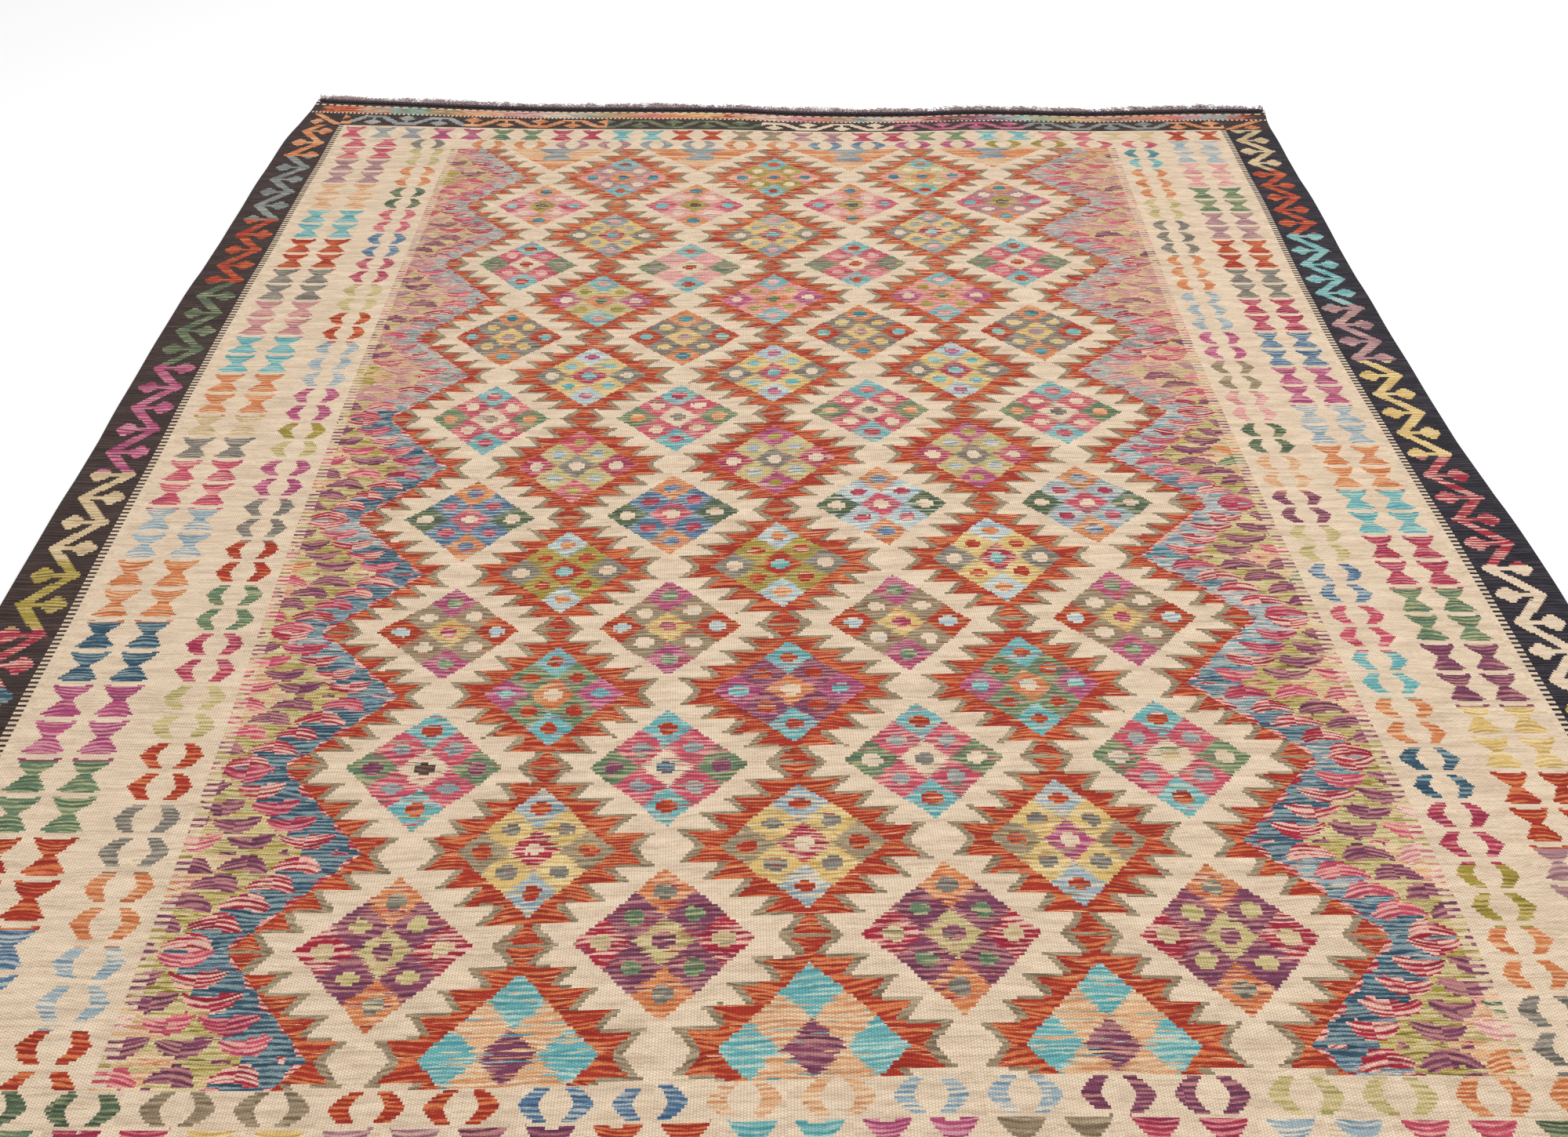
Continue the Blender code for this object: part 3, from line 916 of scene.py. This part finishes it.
def lozenge_chart():
    """The dyes of every lozenge: [row, column, part] for fills and for eyes."""
    fills = np.zeros((len(LOZENGE_ROWS), 5, 4))
    eyes = np.zeros_like(fills)
    for row, (fill_names, eye_names) in enumerate(LOZENGE_ROWS):
        for part, (fill, eye) in enumerate(zip(fill_names.split(), eye_names.split())):
            fills[row, :, part] = dye_place(fill)
            eyes[row, :, part] = dye_place(fill if eye == "-" else eye)
    for table, changes in ((fills, FILL_CHANGES), (eyes, EYE_CHANGES)):
        for row, column, part, name in changes:
            table[row, column, part] = dye_place(name)
    return fills, eyes


def grid_lines():
    """The mesh's lines in the plan, set so that borders and lozenges meet on them."""
    half = np.concatenate([
        np.linspace(0, LOZENGE_SIDE, 49)[:-1], np.linspace(LOZENGE_SIDE, FIELD_SIDE, 9)[:-1],
        np.linspace(FIELD_SIDE, IVORY_SIDE, 20)[:-1],
        np.linspace(IVORY_SIDE, DARK_SIDE, 3)[:-1], np.linspace(DARK_SIDE, HALF_WIDTH, 9)])
    us = np.concatenate([-half[:0:-1], half])
    field = np.arange(-103, 104) * (PITCH_V / 24)
    field = np.concatenate([[-FIELD_END], field, [FIELD_END]])
    end = np.linspace(FIELD_END, CLOTH_END, 21)[1:]
    vs = np.concatenate([-end[::-1], field, end])
    return us, vs


def woven_cloth():
    """The whole cloth as one closed sheet, 3 mm thick, with a rounded selvedge.

    The surface is a grid over the plan. Each grid point is bent to its place on the rug,
    lifted by the ripples, and copied one cloth thickness lower. A ring of points halfway
    down the edge joins the two.
    """
    us, vs = grid_lines()
    nu, nv = len(us), len(vs)
    u, v = (a.ravel() for a in np.meshgrid(us, vs))
    x, y = rug_place(u, v)
    lift = ripples(x, y)
    at_side, at_end = np.abs(u) >= HALF_WIDTH, np.abs(v) >= CLOTH_END
    rim = at_side | at_end
    tucked_x = x - np.sign(u) * np.where(at_side, 0.9, 0.0)
    tucked_y = y - np.sign(v) * np.where(at_end, 0.5, 0.0)
    thick = CLOTH_THICKNESS + 0.9 * np.exp(-((HALF_WIDTH - np.abs(u)) / 9.0) ** 2)
    top = np.column_stack([tucked_x, tucked_y, lift + thick - np.where(rim, 0.8, 0.0)])
    low = np.column_stack([tucked_x, tucked_y, lift + np.where(rim, 0.7, 0.0)])
    grid = np.arange(nu * nv).reshape(nv, nu)
    ring = np.concatenate([grid[0, :], grid[1:, -1], grid[-1, -2::-1], grid[-2:0:-1, 0]])
    middle = np.column_stack([x, y, lift + thick / 2])[ring]
    points = np.concatenate([top, low, middle]) * MM
    a, b, c, d = grid[:-1, :-1], grid[:-1, 1:], grid[1:, 1:], grid[1:, :-1]
    top_faces = np.stack([a, b, c, d], -1).reshape(-1, 4)
    low_faces = top_faces[:, ::-1] + nu * nv
    following = np.roll(ring, -1)
    mids = 2 * nu * nv + np.arange(len(ring))
    next_mids = np.roll(mids, -1)
    upper = np.column_stack([ring, mids, next_mids, following])
    lower = np.column_stack([mids, ring + nu * nv, following + nu * nv, next_mids])
    faces = np.concatenate([top_faces, low_faces, upper, lower])
    whole = np.concatenate([np.arange(nu * nv), np.arange(nu * nv), ring])
    plan = np.column_stack([u, v])[whole]
    centre = plan[faces].mean(axis=1)
    wools = [field_wool(), side_wool(), dark_wool(), end_rows_wool(), end_band_wool()]
    cloth = new_piece("kilim_cloth", points, faces.tolist(), wools, zones(centre))
    set_maps(cloth.data, faces, plan, len(top_faces), nu * nv)
    set_charts(cloth.data, centre, x[whole], y[whole], plan)
    return cloth


def zones(centre):
    """Each face's material: field, side border, dark border, end rows or end band."""
    size, past = np.abs(centre[:, 0]), np.abs(centre[:, 1]) - FIELD_END
    zone = np.zeros(len(centre), np.int32)
    zone[size > FIELD_SIDE] = 1
    zone[size > IVORY_SIDE] = 2
    zone[(past > 0) & (size < IVORY_SIDE) & ~((size > 762) & (past < 46))] = 3
    zone[past > 113] = 4
    return zone


def set_maps(mesh, faces, plan, top_count, layer):
    """The plan as a map, and a second map, OFBake, for baking.

    In the bake map the top fills nearly the whole square, and the underside and edge are
    squeezed into two strips beside it.
    """
    corners = plan[faces.ravel()]
    set_uv(mesh, "pattern", corners * MM)
    share = (corners + [HALF_WIDTH, CLOTH_END]) / [2 * HALF_WIDTH, 2 * CLOTH_END]
    which = np.repeat(np.arange(len(faces)), 4)
    top, edge = which < top_count, which >= 2 * top_count
    bake = np.where(top[:, None], share * [0.90, 0.99] + [0.005, 0.005],
                    share * [0.045, 0.99] + [0.915, 0.005])
    place = faces.ravel()
    level = np.where(place >= 2 * layer, 0.5, np.where(place >= layer, 0.0, 1.0))
    bake[edge, 0] = 0.970 + 0.02 * level[edge]
    bake[edge, 1] = 0.005 + 0.99 * (share.sum(axis=1) / 2)[edge]
    set_uv(mesh, "OFBake", bake)


def set_charts(mesh, centre, x, y, plan):
    """Writes each lozenge's dyes on its faces, and the border counts on the points."""
    fills, eyes = lozenge_chart()
    u, v = centre.T
    columns = (np.clip((u + LOZENGE_SIDE) // PITCH_U, 0, 3),
               np.clip(np.round(u / PITCH_U) + 2, 0, 4))
    for kind, column, first in (("open", columns[0], OPEN_ROW), ("band", columns[1], BAND_ROW)):
        row = np.clip(np.round((first - v) / PITCH_V), 0, 8).astype(int) * 2 + (kind == "band")
        for part, table in (("_fill", fills), ("_eye", eyes)):
            values = table[row, column.astype(int)]
            add_attribute(mesh, kind + part, "FLOAT_COLOR", "FACE", values)
    side = np.where(plan[:, :1] > 0, beats(RIGHT_BEATS, y), beats(LEFT_BEATS, y))
    add_attribute(mesh, "side_beats", "FLOAT_VECTOR", "POINT", side)
    end = np.where(plan[:, 1:] > 0, beats(FAR_BEATS, x), beats(NEAR_BEATS, x))
    add_attribute(mesh, "end_beats", "FLOAT_VECTOR", "POINT", end)


# --------------------------------------------------------------------- cords and fringes
def tube(path, radius, sides):
    """Points and faces of a closed tube: a circle carried along a path.

    At each path point the circle lies across the path's direction. Its first axis is
    level, and its second stands on both.
    """
    direction = np.gradient(path, axis=0)
    direction /= np.linalg.norm(direction, axis=1, keepdims=True)
    level = np.cross(direction, [0.0, 0.0, 1.0])
    level /= np.maximum(np.linalg.norm(level, axis=1, keepdims=True), 1e-6)
    upright = np.cross(level, direction)
    turn = np.arange(sides) * (2 * math.pi / sides)
    radius = np.broadcast_to(np.asarray(radius, float), (len(path),))[:, None, None]
    ring = (np.cos(turn)[None, :, None] * level[:, None, :]
            + np.sin(turn)[None, :, None] * upright[:, None, :])
    points = (path[:, None, :] + ring * radius).reshape(-1, 3)
    i, j = np.meshgrid(np.arange(len(path) - 1), np.arange(sides), indexing="ij")
    k = (j + 1) % sides
    faces = np.stack([i * sides + j, (i + 1) * sides + j, (i + 1) * sides + k,
                      i * sides + k], -1).reshape(-1, 4)
    return points, faces


def cord_ends(edge, margin):
    """Where an end edge, less a margin, meets the two selvedges."""
    left, right = end_edge(edge, np.array([-990.0, 992.0]), 0.0)
    return float(selvedge(-1, left)) + margin, float(selvedge(1, right)) - margin


def plaited_cord(edge, outward):
    """Three strands plaited along an end.

    Each strand swings from side to side as a sine along the cord and rises and dips at
    twice that rate, a third of a turn behind the one before it.
    """
    plait, sides = 25.0, 8
    left, right = cord_ends(edge, 2.0)
    across = np.linspace(left, right, int((right - left) / 3.1))
    along = end_edge(edge, across, -outward * 7.6)
    taper = np.clip(np.minimum(across - left, right - across) / 8.0, 0.25, 1.0)
    points, faces, base = [], [], 0
    for strand in range(3):
        turn = across * (2 * math.pi / plait) + strand * 2 * math.pi / 3
        path = np.column_stack([
            across + 0.8 * np.sin(turn * 1.7),
            along + 4.2 * np.sin(turn) * taper,
            3.95 + 1.1 * np.sin(2 * turn) * taper])
        ring, walls = tube(path, 2.8 * taper, sides)
        points.append(ring)
        last = base + len(ring)
        faces += (walls + base).tolist()
        faces.append(list(range(base + sides - 1, base - 1, -1)))
        faces.append(list(range(last - sides, last)))
        base = last
    return np.concatenate(points), faces


def cut_ends(edge, outward, count, seed):
    """The frizzy warp ends: thin three-sided hairs that kink on their way out.

    Each hair's path is a straight run out from the cord, plus sines of its own phase that
    grow along it, and a rise that falls back to the floor. Hairs stand in clumps of six.
    """
    rng = np.random.default_rng(seed)
    steps, clump_size = 8, 6
    left, right = cord_ends(edge, 4)
    clump = np.sort(rng.uniform(left, right, count // clump_size))
    count = len(clump) * clump_size
    root = np.repeat(clump, clump_size) + rng.normal(0, 2.0, count)
    root = np.clip(root, left, right)
    tuft = 0.92 + 0.22 * np.sin(root / 37) * np.sin(root / 91 + 1)
    length = rng.uniform(15, 35, count) * tuft
    t = np.linspace(0, 1, steps)[None, :]
    phase = rng.uniform(0, 6.28, (count, 4))
    lean = rng.normal(0, 8, count)[:, None]
    kink = (np.sin(t * 9 + phase[:, :1]) + 0.6 * np.sin(t * 17 + phase[:, 1:2])) * 1.5 * t
    base = end_edge(edge, root, -outward * 4.0)[:, None]
    out = base + outward * (t * length[:, None]
                            + 1.8 * np.sin(t * 12 + phase[:, 2:3]) * t)
    rise = rng.uniform(0.5, 9.0, count)[:, None]
    wave = 0.9 * np.sin(t * 14 + phase[:, 3:4]) * t
    up = 2.6 + rise * np.sin(t * 2.6) * (1 - 0.35 * t) - 1.6 * t + wave
    thick = (0.95 - 0.5 * t) * rng.uniform(0.7, 1.25, count)[:, None]
    path = np.stack([root[:, None] + lean * t**1.4 + kink, out, np.maximum(up, thick)], -1)
    turn = np.arange(3) * (2 * math.pi / 3)
    ring = np.stack([np.cos(turn), np.zeros(3), np.sin(turn)], -1)
    points = path[:, :, None, :] + thick[:, :, None, None] * ring[None, None]
    h, i, j = np.meshgrid(np.arange(count), np.arange(steps - 1), np.arange(3), indexing="ij")
    k = (j + 1) % 3
    at = (h * steps + i) * 3
    walls = np.stack([at + j, at + k, at + 3 + k, at + 3 + j], -1).reshape(-1, 4)
    start = np.arange(count)[:, None] * steps * 3
    caps = np.concatenate([start + [0, 2, 1], start + (steps - 1) * 3 + [0, 1, 2]])
    if outward < 0:
        walls, caps = walls[:, ::-1], caps[:, ::-1]
    return points.reshape(-1, 3), walls, caps


def cord_wool(name, dark, light):
    """Dark wool in a tight twist, with paler fibres here and there."""
    wool = Wool(name)
    place = Value(wool, wool.node("ShaderNodeTexCoord").outputs["Object"])
    x, y, z = wool.parts(place)
    streak, _ = wool.noise(wool.vector(x * 260, y * 420, z * 420), 1.0, 3.0, 0.6)
    broad, _ = wool.noise(place, 24.0, 2.0)
    amount = wool.higher((streak - 0.42) / 0.3, 0.0) * (broad + 0.45)
    colour = wool.either_colour(wool.lower(amount, 1.0), linear(light), linear(dark))
    return wool.finish(colour, streak, 0.95, 0.25, 0.5, 0.0006)


def end_finish(name, edge, outward, seed, materials):
    """One end's cord and cut warp ends as one piece."""
    cord_points, cord_faces = plaited_cord(edge, outward)
    hair_points, hair_walls, hair_caps = cut_ends(edge, outward, 3000, seed)
    shift = len(cord_points)
    points = np.concatenate([cord_points, hair_points]) * MM
    faces = cord_faces + (hair_walls + shift).tolist() + (hair_caps + shift).tolist()
    wools = (np.arange(len(faces)) >= len(cord_faces)).astype(np.int32)
    return new_piece(name, points, faces, materials, wools)


# ------------------------------------------------------------------------------ the studio
def studio():
    """A pale floor, soft light from above and the camera at the photograph's angle."""
    scene = bpy.context.scene
    scene.view_settings.view_transform = "Standard"
    floor_mesh = bpy.data.meshes.new("studio_floor")
    size, level = 30.0, -0.0006
    floor_mesh.from_pydata([(-size, -size, level), (size, -size, level),
                            (size, size, level), (-size, size, level)], [], [(0, 1, 2, 3)])
    floor = bpy.data.objects.new("studio_floor", floor_mesh)
    scene.collection.objects.link(floor)
    paint = bpy.data.materials.new("pale_floor")
    paint.use_nodes = True
    shader = paint.node_tree.nodes["Principled BSDF"]
    shader.inputs["Base Color"].default_value = (0.93, 0.93, 0.93, 1)
    shader.inputs["Roughness"].default_value = 0.9
    floor_mesh.materials.append(paint)
    world = bpy.data.worlds.new("studio_world")
    world.use_nodes = True
    world.node_tree.nodes["Background"].inputs[0].default_value = (1.0, 1.0, 1.0, 1)
    world.node_tree.nodes["Background"].inputs[1].default_value = 0.68
    scene.world = world
    lamp = bpy.data.lights.new("overhead_softbox", "AREA")
    lamp.shape, lamp.size, lamp.size_y, lamp.energy = "RECTANGLE", 5.0, 5.0, 150.0
    softbox = bpy.data.objects.new("overhead_softbox", lamp)
    softbox.location = (0.9, 0.5, 4.2)
    softbox.rotation_euler = (math.radians(3), math.radians(10), 0)
    scene.collection.objects.link(softbox)
    lens = bpy.data.cameras.new("photo_camera")
    lens.lens, lens.sensor_width, lens.sensor_fit = 43.7, 36.0, "HORIZONTAL"
    lens.clip_start, lens.clip_end = 0.05, 100.0
    camera = bpy.data.objects.new("photo_camera", lens)
    camera.location = (0.015, -2.4530, 1.3595)
    camera.rotation_euler = (math.radians(90 - 32.9), 0, math.radians(0.24))
    scene.collection.objects.link(camera)
    scene.camera = camera


studio()
cloth = woven_cloth()
far_end = end_finish("far_cord_and_fringe", FAR_EDGE, 1, 11,
                     [cord_wool("cord_wool", "2C2228", "4C4046"),
                      cord_wool("fringe_wool", "94787A", "D2BAB0")])
near_end = end_finish("near_cord_and_fringe", NEAR_EDGE, -1, 12,
                      list(far_end.data.materials))
for piece, node, wool_slot in ((cloth, "kilim", "woven_wool"),
                               (far_end, "far_end_fringe", "end_cord_wool"),
                               (near_end, "near_end_fringe", "end_cord_wool")):
    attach(piece, "root")
    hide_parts(node)
